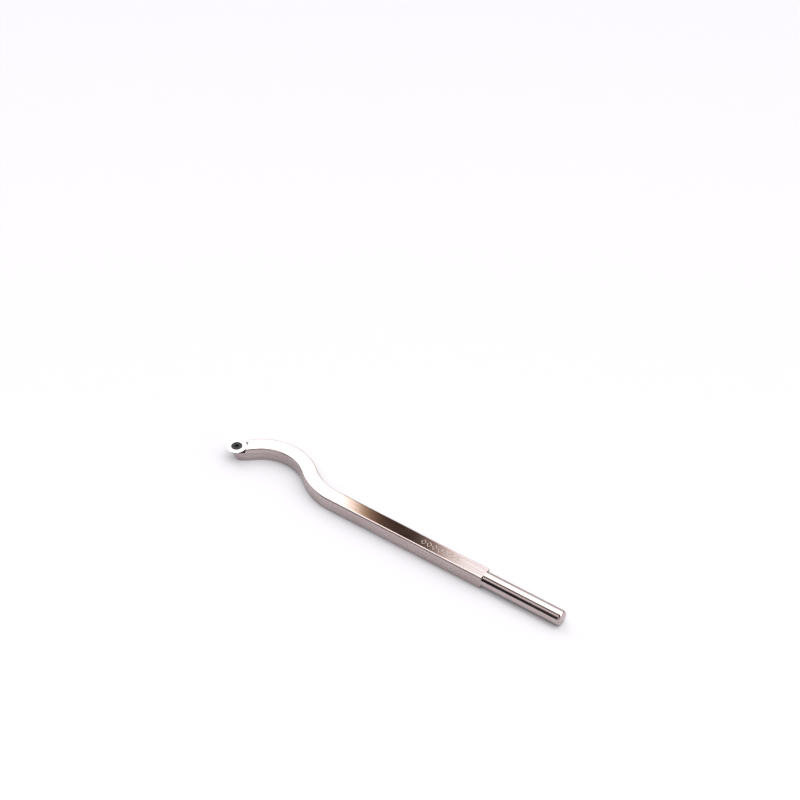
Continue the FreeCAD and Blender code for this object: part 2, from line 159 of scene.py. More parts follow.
def pick(piece, kind, test):
    """In edit mode, select only the faces, edges or vertices that pass the test."""
    bpy.ops.mesh.select_mode(type={"faces": "FACE", "edges": "EDGE", "verts": "VERT"}[kind])
    bpy.ops.mesh.select_all(action="DESELECT")
    mesh = bmesh.from_edit_mesh(piece.data)
    mesh.normal_update()
    chosen = [item for item in getattr(mesh, kind) if test(item)]
    for item in chosen:
        item.select_set(True)
    mesh.select_flush_mode()
    bmesh.update_edit_mesh(piece.data)
    return len(chosen)


def apply_place(piece):
    """Put the object's place into its mesh, so that the object sits at the origin."""
    only(piece)
    bpy.ops.object.transform_apply(location=True, rotation=True, scale=True)


def apply_modifier(piece, kind, **settings):
    """Add one modifier, set it and apply it."""
    only(piece)
    modifier = piece.modifiers.new(kind.title(), kind)
    for key, value in settings.items():
        setattr(modifier, key, value)
    bpy.ops.object.modifier_apply(modifier=modifier.name)


def combine(piece, tool, operation):
    """Boolean with another object, which is used up."""
    apply_modifier(piece, "BOOLEAN", object=tool, operation=operation, solver="EXACT")
    bpy.data.objects.remove(tool)


def outward(piece):
    """Merge doubled points, then turn all faces outwards."""
    edit(piece, "VERT")
    bpy.ops.mesh.select_all(action="SELECT")
    bpy.ops.mesh.remove_doubles(threshold=1e-6)
    bpy.ops.mesh.normals_make_consistent(inside=False)
    start_clean()


def close_gaps(piece):
    """Fill the single small faces that a boolean may drop."""
    edit(piece, "VERT")
    bpy.ops.mesh.select_all(action="SELECT")
    bpy.ops.mesh.fill_holes(sides=4)
    outward(piece)


def open_edges(piece):
    """How many edges don't have exactly two faces; a closed solid has none."""
    mesh = bmesh.new()
    mesh.from_mesh(piece.data)
    count = sum(1 for edge in mesh.edges if len(edge.link_faces) != 2)
    mesh.free()
    return count


def volume(piece):
    """The volume in cubic metres; it is negative if the faces point inwards."""
    mesh = bmesh.new()
    mesh.from_mesh(piece.data)
    value = mesh.calc_volume(signed=True)
    mesh.free()
    return value


def describe(piece):
    """Print a piece's faces, open edges and volume."""
    start_clean()
    print("%s: %d faces, %d open edges, %.1f mm3" % (
        piece.name, len(piece.data.polygons), open_edges(piece), volume(piece) / MM ** 3))


# %% [markdown]
# ## The bent bar
#
# The real bar is a length of square stock, heated and bent flat round two formers. So it is
# modelled the same way: one square face with rounded corners is drawn out straight, spun
# round the first former, spun back round the second, and drawn out again for the nose. A
# curve with a bevel object would also do, but spinning keeps every edge exactly on its arc.

# %% Draw and bend the bar
CORNER_STEPS = 8
BEND_STEP = math.radians(1.5)
TIP_SPARE = 0.5 * MM  # steel past the nose, ground away later


def pull(offset):
    """Extrude what is selected by an offset."""
    bpy.ops.mesh.extrude_region_move(TRANSFORM_OT_translate={"value": tuple(offset)})


def turn(centre, angle):
    """Spin the picked face round a former; the spin operator counts its angle clockwise."""
    bpy.ops.mesh.spin(steps=math.ceil(abs(angle) / BEND_STEP), dupli=False, angle=-angle,
                      center=tuple(centre), axis=(0, 0, 1))


start_clean()
bpy.ops.mesh.primitive_plane_add(size=2 * half_bar, location=(0, 0, 0),
                                 rotation=(0, math.pi / 2, 0))
bar = named("swan_neck_bar")
apply_place(bar)
edit(bar, "VERT")
bpy.ops.mesh.select_all(action="SELECT")
bpy.ops.mesh.bevel(offset=EDGE_RADIUS, segments=CORNER_STEPS, affect="VERTICES")
bpy.ops.mesh.select_mode(type="FACE")
bpy.ops.mesh.select_all(action="SELECT")
pull((STRAIGHT, 0, 0))
turn(out_centre, -OUT_ANGLE)
turn(back_centre, OUT_ANGLE + NOSE_ANGLE)
pull(heading * (nose_run + nose_radius + TIP_SPARE))
bpy.ops.object.mode_set(mode="OBJECT")
outward(bar)
describe(bar)
tip = max((v.co for v in bar.data.vertices), key=lambda co: co.x)
print("bar ends at", tuple(round(value, 4) for value in tip))

# %% [markdown]
# ## Shoulder and tang
#
# The round tang is turned from the same square stock, which leaves a square shoulder. A
# boolean union joins a cylinder to the bar. The lathe tool leaves a small chamfer round the
# shoulder, and the tang's free end is rounded so that it starts easily into a handle.

# %% Turn the tang
SHOULDER_CHAMFER = 0.35 * MM
TANG_SIDES, TANG_OVERLAP = 128, 3 * MM
ON_PLANE = 0.01 * MM  # how close to a plane or a point counts as on it


def ring(piece, x_level):
    """Pick the edges that lie in the plane x = x_level."""
    return pick(piece, "edges", lambda edge: all(
        abs(vert.co.x - x_level) < ON_PLANE for vert in edge.verts))


edit(bar)
ring(bar, 0)
bpy.ops.mesh.bevel(offset=SHOULDER_CHAMFER, segments=3, affect="EDGES")

start_clean()
bpy.ops.mesh.primitive_cylinder_add(
    vertices=TANG_SIDES, radius=TANG_RADIUS, depth=TANG_OVERLAP - tang_end,
    location=((TANG_OVERLAP + tang_end) / 2, 0, 0), rotation=(0, math.pi / 2, 0))
tang = named("tang_blank")
apply_place(tang)
edit(tang)
ring(tang, tang_end)
bpy.ops.mesh.bevel(offset=TANG_ROUNDING, segments=10, affect="EDGES")
combine(bar, tang, "UNION")
describe(bar)

# %% [markdown]
# ## Seat, nose and edges
#
# On the real tool an end mill cuts the level seat for the cutter, and a belt grinder draws
# the nose in below it so that only the cutter touches the wood. Here a block is taken away
# for the seat. For the nose, everything outside a leaning, rounded block is taken away.

# %% Mill the seat
SEAT_CORNER = 0.3 * MM
reach = 2 * (cutter_radius + half_bar)  # far enough to clear the bar on every side


def block(name, low, high, angle=0.0):
    """A box between two corners, in a frame on the cutter's axis turned about +Z."""
    start_clean()
    bpy.ops.mesh.primitive_cube_add(size=1, location=(Vector(low) + Vector(high)) / 2)
    piece = named(name)
    piece.scale = Vector(high) - Vector(low)
    apply_place(piece)
    piece.matrix_world = Matrix.Translation(cutter_centre) @ Matrix.Rotation(angle, 4, "Z")
    apply_place(piece)
    return piece


seat_angle = NOSE_ANGLE - SEAT_WALL_TURN
wall = cutter_radius + SEAT_GAP
mill = block("seat_mill", (-wall, -reach, seat_level), (reach, reach, half_bar + MM),
             seat_angle)
edit(mill)
across = Vector((math.cos(seat_angle), math.sin(seat_angle), 0))
pick(mill, "edges", lambda edge: all(
    vert.co.z < seat_level + ON_PLANE
    and abs((vert.co - cutter_centre).dot(across) + wall) < ON_PLANE for vert in edge.verts))
bpy.ops.mesh.bevel(offset=SEAT_CORNER, segments=4, affect="EDGES")
combine(bar, mill, "DIFFERENCE")
describe(bar)

# %% [markdown]
# The nose leans: steeply back at the very front, so that the tool can swing in the work, and
# only slightly at its sides. A cone with its lower end slid back along the nose has that
# shape. Its hull with a thin plate further back is what the grinder leaves standing.

# %% Grind the nose
NOSE_SIDES = 144
NOSE_SPARE = 0.5 * MM  # how far the ground shape runs above the seat and below the bar
PLATE_SPARE = 0.25 * MM  # how far the plate stands out past the bar's sides
PLATE = 0.2 * MM
upper, lower = seat_level + NOSE_SPARE, -half_bar - NOSE_SPARE
side_slope, front_slope = math.tan(SIDE_RELIEF), math.tan(FRONT_RELIEF)
start_clean()
bpy.ops.mesh.primitive_cone_add(
    vertices=NOSE_SIDES, depth=upper - lower,
    radius1=nose_radius - (seat_level - lower) * side_slope,
    radius2=nose_radius + (upper - seat_level) * side_slope,
    location=(cutter_x, 0, (upper + lower) / 2))
nose = named("nose_keep")
apply_place(nose)
edit(nose)
for level, is_end in ((lower, lambda vert: vert.co.z < 0),
                      (upper, lambda vert: vert.co.z > 0)):
    pick(nose, "verts", is_end)
    slide = (level - seat_level) * (front_slope - side_slope)
    bpy.ops.transform.translate(value=heading * slide)
start_clean()
back = half_bar + PLATE_SPARE
stock = block("nose_stock", (-RELIEF_RUN, -back, lower), (-RELIEF_RUN + PLATE, back, upper),
              NOSE_ANGLE)
start_clean()
stock.select_set(True)
nose.select_set(True)
bpy.context.view_layer.objects.active = nose
bpy.ops.object.join()
edit(nose)
bpy.ops.mesh.select_all(action="SELECT")
bpy.ops.mesh.convex_hull()
bpy.ops.object.mode_set(mode="OBJECT")

shaver = block("nose_shaver", (-RELIEF_RUN + PLATE / 2, -reach, lower + PLATE / 2),
               (reach, reach, upper - PLATE / 2), NOSE_ANGLE)
combine(shaver, nose, "DIFFERENCE")
combine(bar, shaver, "DIFFERENCE")
describe(bar)

# %% [markdown]
# ## Broken edges, engraving and tapped hole
#
# A maker passes a fine stone along the milled edges, because a dead sharp edge cuts hands
# and looks drawn. So the seat's and the nose's edges get a tiny bevel before the finer cuts.
# The Bevel modifier could do it, but the operator lets only the nose's edges be picked.

# %% Break the milled edges
EDGE_BREAK = 0.14 * MM
SHARP = math.radians(28)
TOO_CLOSE = 0.04 * MM  # points nearer than this would spoil the bevel


def is_milled_edge(edge):
    """Whether an edge is a sharp one on the seat or the nose."""
    near = all(vert.co.x > nose_start.x for vert in edge.verts)
    return near and edge.is_manifold and edge.calc_face_angle(0) > SHARP


edit(bar, "VERT")
pick(bar, "verts", lambda vert: vert.co.x > nose_start.x)
bpy.ops.mesh.remove_doubles(threshold=TOO_CLOSE)
count = pick(bar, "edges", is_milled_edge)
bpy.ops.mesh.bevel(offset=EDGE_BREAK, segments=2, affect="EDGES", clamp_overlap=False)
print(count, "milled edges broken")
describe(bar)

# %% [markdown]
# The mark on the bar is a plain row of open lozenges, cut by an engraver's point. Each one is
# drawn as a four-sided circle, inset, and pulled through the top face. One is modelled and
# the rest are copies.

# %% Engrave the row of open lozenges
MARK_START, MARK_PITCH, MARK_COUNT = 26.0 * MM, 5.2 * MM, 7
MARK_LENGTH, MARK_WIDTH, MARK_LINE, MARK_DEPTH = 4.6 * MM, 5.6 * MM, 0.55 * MM, 0.25 * MM

start_clean()
bpy.ops.mesh.primitive_circle_add(vertices=4, radius=0.5, fill_type="NGON",
                                  location=(MARK_START, 0, half_bar - MARK_DEPTH))
lozenge = named("lozenge_1")
lozenge.scale = (MARK_LENGTH, MARK_WIDTH, 1)
apply_place(lozenge)
edit(lozenge)
bpy.ops.mesh.select_all(action="SELECT")
bpy.ops.mesh.inset(thickness=MARK_LINE, use_even_offset=True)
bpy.ops.mesh.delete(type="FACE")
bpy.ops.mesh.select_all(action="SELECT")
pull((0, 0, 4 * MARK_DEPTH))
outward(lozenge)
for i in range(1, MARK_COUNT):
    only(lozenge)
    bpy.ops.object.duplicate(linked=False)
    copy = named("lozenge_%d" % (i + 1))
    copy.location.x = MARK_PITCH * i
    apply_place(copy)
start_clean()
row = [bpy.data.objects["lozenge_%d" % (i + 1)] for i in range(MARK_COUNT)]
for copy in row:
    copy.select_set(True)
bpy.context.view_layer.objects.active = lozenge
bpy.ops.object.join()
describe(lozenge)
combine(bar, lozenge, "DIFFERENCE")
describe(bar)

# %% [markdown]
# A screw thread is one small tooth swept along a helix. The Screw modifier does this to a
# profile, and two bisecting cuts with fill close its ends. The same rod, a little larger,
# taps the hole in the bar, so the two threads have the same pitch.

# %% Helper for threads
THREAD_SIDES = 48
TOOTH = [(0, 0.0), (0, 0.16), (1, 0.45), (1, 0.6), (0, 0.89), (0, 1.0)]  # depth, rise
LEAD_IN = 1.37  # turns below the first level; an odd figure keeps the cuts off the points


def thread_rod(name, crest, root, low, high):
    """A closed threaded rod on the cutter's axis between two levels."""
    turns = math.ceil((high - low) / THREAD_PITCH) + 3
    start = low - LEAD_IN * THREAD_PITCH
    tooth = [(crest if depth else root, rise) for depth, rise in TOOTH]
    start_clean()
    bpy.ops.mesh.primitive_plane_add(size=MM, location=(0, 0, 0))
    rod = named(name)
    edit(rod, "VERT")
    bpy.ops.mesh.select_all(action="SELECT")
    bpy.ops.mesh.merge(type="CENTER")
    bpy.ops.transform.translate(value=(tooth[0][0], 0, start))
    for (radius, rise), (next_radius, next_rise) in zip(tooth, tooth[1:]):
        pull((next_radius - radius, 0, (next_rise - rise) * THREAD_PITCH))
    apply_modifier(rod, "SCREW", axis="Z", screw_offset=THREAD_PITCH, iterations=turns,
                   steps=THREAD_SIDES, render_steps=THREAD_SIDES)
    outward(rod)
    for level, side in ((low, -1), (high, 1)):
        edit(rod)
        bpy.ops.mesh.select_all(action="SELECT")
        bpy.ops.mesh.bisect(plane_co=(0, 0, level), plane_no=(0, 0, side), use_fill=True,
                            clear_outer=True, threshold=1e-8)
    start_clean()
    rod.location = cutter_centre
    apply_place(rod)
    outward(rod)
    return rod


tap = thread_rod("tap", HOLE_RADIUS + THREAD_DEPTH, HOLE_RADIUS, -half_bar - MM,
                 seat_level + MM)
describe(tap)

# %% Drill and tap the bar
combine(bar, tap, "DIFFERENCE")
describe(bar)

# %% [markdown]
# ## Cutter
#
# The cutter is a disc of sintered carbide, ground to a sharp rim on top, with a leaning
# flank below it and a countersunk hole. Turned parts are easiest as on a lathe: half of the
# section is drawn as a line, its corners are rounded, and it is spun right round the axis.

# %% Helper for turned pieces
SAME_POINT = 0.001 * MM


def lathe(name, outline, rounded=(), sides=144):
    """Spin a closed outline of (radius, level) points; rounded is (corner, size) pairs."""
    start_clean()
    bpy.ops.mesh.primitive_plane_add(size=MM, location=(0, 0, 0))
    piece = named(name)
    edit(piece, "VERT")
    bpy.ops.mesh.select_all(action="SELECT")
    bpy.ops.mesh.merge(type="CENTER")
    bpy.ops.transform.translate(value=(outline[0][0], 0, outline[0][1]))
    for (radius, level), (next_radius, next_level) in zip(outline, outline[1:]):
        pull((next_radius - radius, 0, next_level - level))
    if outline[0][0] > 0:
        pull((outline[0][0] - outline[-1][0], 0, outline[0][1] - outline[-1][1]))
        bpy.ops.mesh.select_all(action="SELECT")
        bpy.ops.mesh.remove_doubles(threshold=1e-7)
    for corner, size in rounded:
        spot = Vector((outline[corner][0], 0, outline[corner][1]))
        pick(piece, "verts", lambda vert: (vert.co - spot).length < SAME_POINT)
        bpy.ops.mesh.bevel(offset=size, segments=4, affect="VERTICES")
    bpy.ops.mesh.select_all(action="SELECT")
    bpy.ops.mesh.spin(steps=sides, dupli=False, angle=2 * math.pi, center=(0, 0, 0),
                      axis=(0, 0, 1))
    start_clean()
    piece.location = cutter_centre
    apply_place(piece)
    outward(piece)
    return piece


# %% Turn the cutter
MOUTH_RADIUS = head_radius + MOUTH_GAP
RIM_EDGE, MOUTH_EDGE, FOOT_EDGE = 0.03 * MM, 0.08 * MM, 0.1 * MM
rim_foot = screw_high.z - HEAD_RIM
cone_foot = rim_foot - (MOUTH_RADIUS - BORE_RADIUS)
cutter = lathe("carbide_disc", [
    (BORE_RADIUS, seat_level),
    (cutter_radius - flank_inset, seat_level),
    (cutter_radius, cutter_top),
    (MOUTH_RADIUS, cutter_top),
    (MOUTH_RADIUS, rim_foot),
    (BORE_RADIUS, cone_foot),
], rounded=[(1, FOOT_EDGE), (2, RIM_EDGE), (3, MOUTH_EDGE), (0, FOOT_EDGE)], sides=180)
describe(cutter)

# %% [markdown]
# ## Screw
#
# A countersunk cap screw with a six-lobed socket holds the cutter. The head is turned, the
# thread is swept along its helix, and the two are joined. A turned envelope trims the
# thread's first turn to the chamfer that lets the screw find its hole.

# %% Turn the screw's head and cut its thread
SHANK_ROOT = SHANK_RADIUS - THREAD_DEPTH
TIP_CHAMFER = 0.6 * MM
RUN_OUT, OVERLAP = 0.35 * MM, 0.3 * MM
PROUD, ENVELOPE_PROUD = 0.05 * MM, 0.1 * MM  # so that no two faces lie in each other
TOP_BREAK, CONE_BREAK = 0.12 * MM, 0.08 * MM
head_top, tip_level = screw_high.z, screw_low.z
head_foot = head_top - HEAD_RIM - (head_radius - SHANK_RADIUS)
thread_top = head_foot - RUN_OUT

screw = lathe("countersunk_screw", [
    (0, head_top),
    (head_radius, head_top),
    (head_radius, head_top - HEAD_RIM),
    (SHANK_RADIUS - PROUD, head_foot),
    (SHANK_ROOT + PROUD, thread_top + PROUD),
    (SHANK_ROOT + PROUD, thread_top - OVERLAP),
    (0, thread_top - OVERLAP),
], rounded=[(1, TOP_BREAK), (2, CONE_BREAK)])
describe(screw)

rod = thread_rod("screw_thread", SHANK_RADIUS, SHANK_ROOT, tip_level, thread_top)
describe(rod)
envelope = lathe("screw_envelope", [
    (0, thread_top + MM),
    (SHANK_RADIUS + ENVELOPE_PROUD, thread_top + MM),
    (SHANK_RADIUS + ENVELOPE_PROUD, tip_level + TIP_CHAMFER + ENVELOPE_PROUD),
    (SHANK_RADIUS - TIP_CHAMFER, tip_level),
    (0, tip_level),
])
combine(rod, envelope, "INTERSECT")
describe(rod)
combine(screw, rod, "UNION")
describe(screw)

# %% [markdown]
# The socket takes a six-lobed key. A star outline could be typed in point by point, but it
# is easier to start from a twelve-sided prism, draw every other corner in, and round all the
# upright edges. The prism is then punched into the head.

# %% Form the six-lobed socket
SOCKET_DEPTH, LOBE_REACH, LOBE_WAIST = 1.8 * MM, 2.45 * MM, 1.5 * MM
CORNERS, LOBE_ROUNDING = 12, 0.42 * MM
start_clean()
bpy.ops.mesh.primitive_cylinder_add(
    vertices=CORNERS, radius=LOBE_REACH, depth=2 * SOCKET_DEPTH,
    location=(cutter_x, 0, head_top))
punch = named("socket_punch")
apply_place(punch)
edit(punch)


def spoke(vert):
    """Which of the twelve corners a point belongs to."""
    offset = vert.co - cutter_centre
    return round(math.atan2(offset.y, offset.x) / math.tau * CORNERS) % CORNERS


pick(punch, "verts", lambda vert: spoke(vert) % 2 == 0)
draw_in = LOBE_WAIST / LOBE_REACH
bpy.ops.transform.resize(value=(draw_in, draw_in, 1),
                         center_override=(cutter_x, 0, head_top))
pick(punch, "edges", lambda edge: abs(edge.verts[0].co.z - edge.verts[1].co.z) > MM)
bpy.ops.mesh.bevel(offset=LOBE_ROUNDING, segments=5, affect="EDGES")
start_clean()
combine(screw, punch, "DIFFERENCE")
describe(screw)

# %% [markdown]
# ## Closed, smooth meshes
#
# Flat faces should stay flat and roundings should flow. Smoothing by angle keeps the sharp
# edges, and the Weighted Normal modifier lets the large faces win where they meet a
# rounding, so that no shading runs across a ground face.

# %% Shade the three pieces
CREASE = math.radians(35)
ALL_BY_AREA = 100
for piece in (bar, cutter, screw):
    outward(piece)
    close_gaps(piece)
    only(piece)
    bpy.ops.object.shade_smooth_by_angle(angle=CREASE)
    apply_modifier(piece, "WEIGHTED_NORMAL", keep_sharp=True, weight=ALL_BY_AREA)
    describe(piece)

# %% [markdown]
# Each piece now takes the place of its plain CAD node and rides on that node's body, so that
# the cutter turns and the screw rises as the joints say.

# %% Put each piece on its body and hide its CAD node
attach(bar, "bar")
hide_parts("tool_bar")
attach(cutter, "cutter")
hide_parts("round_cutter")
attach(screw, "screw")
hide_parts("cutter_screw")

# %% [markdown]
# ## Coordinates that follow the bar
#
# Grinding lines on a bent bar run along it and round its bends. So each point of the bar
# stores how far along the bar it is, how far to the side of its middle line, and how high,
# and the steel reads that instead of plain X, Y and Z. Unwrapping would give such coordinates
# too, but with seams where the tang and the seat are cut.

# %% Store the run along the bar
points = np.empty(len(bar.data.vertices) * 3)
bar.data.vertices.foreach_get("co", points)
points = points.reshape(-1, 3)
flat = points[:, :2]


def in_plane(vector):
    """A vector's X and Y."""
    return np.array(vector[:2])


tangent = np.array((math.cos(OUT_ANGLE), -math.sin(OUT_ANGLE)))
from_out, from_back = flat - in_plane(out_centre), flat - in_plane(back_centre)
out_turn = np.arctan2(from_out[:, 0], from_out[:, 1])
start_way = -in_plane(radial)
back_turn = np.arctan2(start_way[0] * from_back[:, 1] - start_way[1] * from_back[:, 0],
                       from_back @ start_way)
nose_way = in_plane(heading)
from_nose = flat - in_plane(nose_start)

run, side = flat[:, 0].copy(), flat[:, 1].copy()
run_at_joint = STRAIGHT + OUT_RADIUS * OUT_ANGLE
run_at_nose = run_at_joint + BACK_RADIUS * (OUT_ANGLE + NOSE_ANGLE)
bent_out = flat[:, 0] > STRAIGHT
run[bent_out] = (STRAIGHT + OUT_RADIUS * out_turn)[bent_out]
side[bent_out] = (np.hypot(*from_out.T) - OUT_RADIUS)[bent_out]
bent_back = bent_out & ((flat - in_plane(joint)) @ tangent > 0)
run[bent_back] = (run_at_joint + BACK_RADIUS * back_turn)[bent_back]
side[bent_back] = (BACK_RADIUS - np.hypot(*from_back.T))[bent_back]
on_nose = bent_back & (from_nose @ nose_way > 0)
run[on_nose] = (run_at_nose + from_nose @ nose_way)[on_nose]
side[on_nose] = (nose_way[0] * from_nose[:, 1] - nose_way[1] * from_nose[:, 0])[on_nose]

layer = bar.data.attributes.new("bar_run", "FLOAT_VECTOR", "POINT")
layer.data.foreach_set("vector", np.column_stack((run, side, points[:, 2])).ravel())
print("bar runs from %.1f to %.1f mm, side %.2f to %.2f mm" % (
    run.min() / MM, run.max() / MM, side.min() / MM, side.max() / MM))

# %% [markdown]
# ## Finishes
#
# Three effects are shared, so each is a node group: the fine lines that grinding leaves, the
# brighter metal on worn edges, and the faint cloudiness of handled metal. A group gives only
# masks and values, and every material has its own Principled shader.

# %% Helpers for nodes


def add(tree, kind, inputs=None, **settings):
    """Add a node, set it, and connect or set its inputs."""
    item = tree.nodes.new(kind)
    for key, value in settings.items():
        setattr(item, key, value)
    for key, value in (inputs or {}).items():
        if isinstance(value, bpy.types.NodeSocket):
            tree.links.new(value, item.inputs[key])
        else:
            item.inputs[key].default_value = value
    return item


def sums(tree, operation, *values, clamp=False):
    """One Math node; returns its value."""
    return add(tree, "ShaderNodeMath", dict(enumerate(values)), operation=operation,
               use_clamp=clamp).outputs[0]


def span(tree, value, low, high, to_low=0.0, to_high=1.0, smooth=True):
    """Map a range onto another, clamped; returns its value."""
    kind = "SMOOTHSTEP" if smooth else "LINEAR"
    return add(tree, "ShaderNodeMapRange", {"Value": value, "From Min": low, "From Max": high,
                                            "To Min": to_low, "To Max": to_high},
               interpolation_type=kind).outputs["Result"]


def noise(tree, vector, scale, detail, roughness):
    """A Noise Texture; returns its value."""
    return add(tree, "ShaderNodeTexNoise", {"Vector": vector, "Scale": scale, "Detail": detail,
                                            "Roughness": roughness}).outputs["Fac"]


def blend(tree, mask, first, second):
    """Mix two colours by a mask; returns the colour."""
    item = add(tree, "ShaderNodeMix", {0: mask, 6: first, 7: second}, data_type="RGBA")
    return item.outputs[2]


def effect(name, inputs, outputs):
    """A new node group with named sockets, and its two end nodes."""
    tree = bpy.data.node_groups.new(name, "ShaderNodeTree")
    for label, kind in inputs:
        tree.interface.new_socket(label, in_out="INPUT", socket_type="NodeSocket" + kind)
    for label in outputs:
        tree.interface.new_socket(label, in_out="OUTPUT", socket_type="NodeSocketFloat")
    given = tree.nodes.new("NodeGroupInput").outputs
    made = tree.nodes.new("NodeGroupOutput").inputs
    return tree, given, made


def use(tree, group, inputs):
    """Place a node group in a material; returns its outputs."""
    item = tree.nodes.new("ShaderNodeGroup")
    item.node_tree = group
    for key, value in inputs.items():
        if isinstance(value, bpy.types.NodeSocket):
            tree.links.new(value, item.inputs[key])
        else:
            item.inputs[key].default_value = value
    return item.outputs


# %% [markdown]
# Ground lines come from noise that is stretched along the bar: fine lines, and broader bands
# of them where the wheel has cut a little deeper. Where the input's X and Y don't change,
# the lines close into rings instead.

# %% Effect: ground lines
BAND_SHARE = 0.13  # one broad band to about eight fine lines
ground_lines, given, made = effect(
    "ground_lines", [("Run", "Vector"), ("Pitch", "Float"), ("Streak", "Float")],
    ["Height", "Tone"])
tree = ground_lines
squeezed = sums(tree, "DIVIDE", 1.0, given["Streak"])
stretch = add(tree, "ShaderNodeCombineXYZ", {"X": squeezed, "Y": 1.0, "Z": 1.0}).outputs[0]
shaped = add(tree, "ShaderNodeVectorMath", {0: given["Run"], 1: stretch},
             operation="MULTIPLY").outputs[0]
fine = sums(tree, "DIVIDE", 1.0, given["Pitch"])
broad = sums(tree, "MULTIPLY", fine, BAND_SHARE)
lines = noise(tree, shaped, fine, 4.0, 0.65)
bands = noise(tree, shaped, broad, 3.0, 0.6)
both = sums(tree, "MULTIPLY_ADD", bands, 0.6, sums(tree, "MULTIPLY", lines, 0.6))
tree.links.new(span(tree, both, 0.35, 0.85, smooth=False), made["Height"])
tree.links.new(span(tree, bands, 0.3, 0.7), made["Tone"])

# %% [markdown]
# A handled edge wears bright, raggedly, and most where two faces meet. So the wear grows as
# the further of the two faces comes near, and noise breaks its border up.

# %% Effect: worn edges
RAGGED_SCALE = 900.0  # bumps in a metre
worn_edges, given, made = effect(
    "worn_edges", [("Place", "Vector"), ("From one face", "Float"), ("From the other", "Float"),
                   ("Width", "Float")], ["Wear"])
tree = worn_edges
furthest = sums(tree, "MAXIMUM", given["From one face"], given["From the other"])
nearness = sums(tree, "SUBTRACT", 1.0, sums(tree, "DIVIDE", furthest, given["Width"]))
ragged_noise = noise(tree, given["Place"], RAGGED_SCALE, 4.0, 0.7)
ragged = sums(tree, "MULTIPLY_ADD", ragged_noise, 0.9, nearness)
tree.links.new(span(tree, ragged, 0.35, 0.95), made["Wear"])

# %% [markdown]
# Hands leave a faint film, in soft clouds as wide as a thumb, with fine specks in it.

# %% Effect: handled metal
CLOUD_SCALE, SPECK_SCALE = 55.0, 1400.0  # in a metre
handled, given, made = effect("handled_metal", [("Place", "Vector")], ["Cloud", "Speck"])
tree = handled
cloud_noise = noise(tree, given["Place"], CLOUD_SCALE, 4.0, 0.55)
speck_noise = noise(tree, given["Place"], SPECK_SCALE, 2.0, 0.5)
tree.links.new(span(tree, cloud_noise, 0.35, 0.7), made["Cloud"])
tree.links.new(span(tree, speck_noise, 0.55, 0.72), made["Speck"])

# %% [markdown]
# ### Ground bar steel
#
# The bar is ground lengthwise, finer on its top and bottom than on its sides, and the tang
# is turned and polished. The grooves of the engraved row are left frosted by the engraver,
# so they look light where the polished face mirrors something dark. The milled seat is
# dull, and its colour is darkened as painted shade, for the shade in the narrow gap round
# the cutter. All this is one steel, so it is one material, and masks made from the
# bar's own run, side and height tell its parts from each other.

# %% Masks on the bar
SOFT = 0.1 * MM  # how softly a mask begins


def new_finish(name, piece):
    """A material with one Principled shader, put on a piece."""
    finish = bpy.data.materials.new(name)
    finish.use_nodes = True
    piece.data.materials.clear()
    piece.data.materials.append(finish)
    return finish.node_tree, finish.node_tree.nodes["Principled BSDF"].inputs


tree, shader = new_finish("ground_bar_steel", bar)
place = add(tree, "ShaderNodeTexCoord").outputs["Object"]
facing_node = add(tree, "ShaderNodeTexCoord").outputs["Normal"]
bar_run = add(tree, "ShaderNodeAttribute", attribute_name="bar_run").outputs["Vector"]
along = add(tree, "ShaderNodeSeparateXYZ", {0: bar_run}).outputs
upright = sums(tree, "ABSOLUTE", add(tree, "ShaderNodeSeparateXYZ",
                                     {0: facing_node}).outputs["Z"])
on_tang = span(tree, along["X"], 0.05 * MM, -0.05 * MM)
beside = sums(tree, "SUBTRACT", half_bar, sums(tree, "ABSOLUTE", along["Y"]))
below = sums(tree, "SUBTRACT", half_bar, sums(tree, "ABSOLUTE", along["Z"]))

row_start = MARK_START - MARK_LENGTH
row_end = MARK_START + MARK_PITCH * MARK_COUNT
in_row = sums(tree, "MULTIPLY", span(tree, along["X"], row_start, row_start + SOFT),
              span(tree, along["X"], row_end, row_end - SOFT))
sunk = span(tree, sums(tree, "SUBTRACT", half_bar, along["Z"]), 0.04 * MM, 0.12 * MM)
row_edge = half_bar - MARK_WIDTH / 2 - 0.4 * MM
middle = span(tree, beside, row_edge, row_edge + SOFT)
groove = sums(tree, "MULTIPLY", sums(tree, "MULTIPLY", in_row, sunk), middle)

# The seat mask: the seat's dull roughness is real, and the dark colour it carries is painted
# shade.
seat_height = sums(tree, "ABSOLUTE", sums(tree, "SUBTRACT", along["Z"], seat_level))
seat_dull_and_shaded = sums(tree, "MULTIPLY", span(tree, seat_height, 0.25 * MM, 0.15 * MM),
               span(tree, upright, 0.5, 0.8))

# %% Bar steel
TOP_ROUGH, SIDE_ROUGH, TANG_ROUGH, DULL_ROUGH = 0.09, 0.24, 0.10, 0.55
DARK_STEEL, LIGHT_STEEL = (0.42, 0.345, 0.335, 1), (0.50, 0.425, 0.415, 1)
FILMED_STEEL, WORN_STEEL = (0.54, 0.48, 0.47, 1), (0.72, 0.68, 0.66, 1)
# The seat's colour is a painted shade, dark where the cutter shades the seat.
SEAT_PAINTED_SHADE, FROSTED_STEEL = (0.10, 0.09, 0.085, 1), (0.42, 0.37, 0.345, 1)

lengthwise = use(tree, ground_lines, {"Run": bar_run, "Pitch": 0.16 * MM, "Streak": 60.0})
turned_run = add(tree, "ShaderNodeCombineXYZ", {"X": along["X"]}).outputs[0]
turned = use(tree, ground_lines, {"Run": turned_run, "Pitch": 0.09 * MM, "Streak": 1.0})
wear = use(tree, worn_edges, {"Place": place, "From one face": beside, "From the other": below,
                              "Width": 0.9 * MM})["Wear"]
wear = sums(tree, "MULTIPLY", wear, sums(tree, "SUBTRACT", 1.0, on_tang))
clouds = use(tree, handled, {"Place": place})

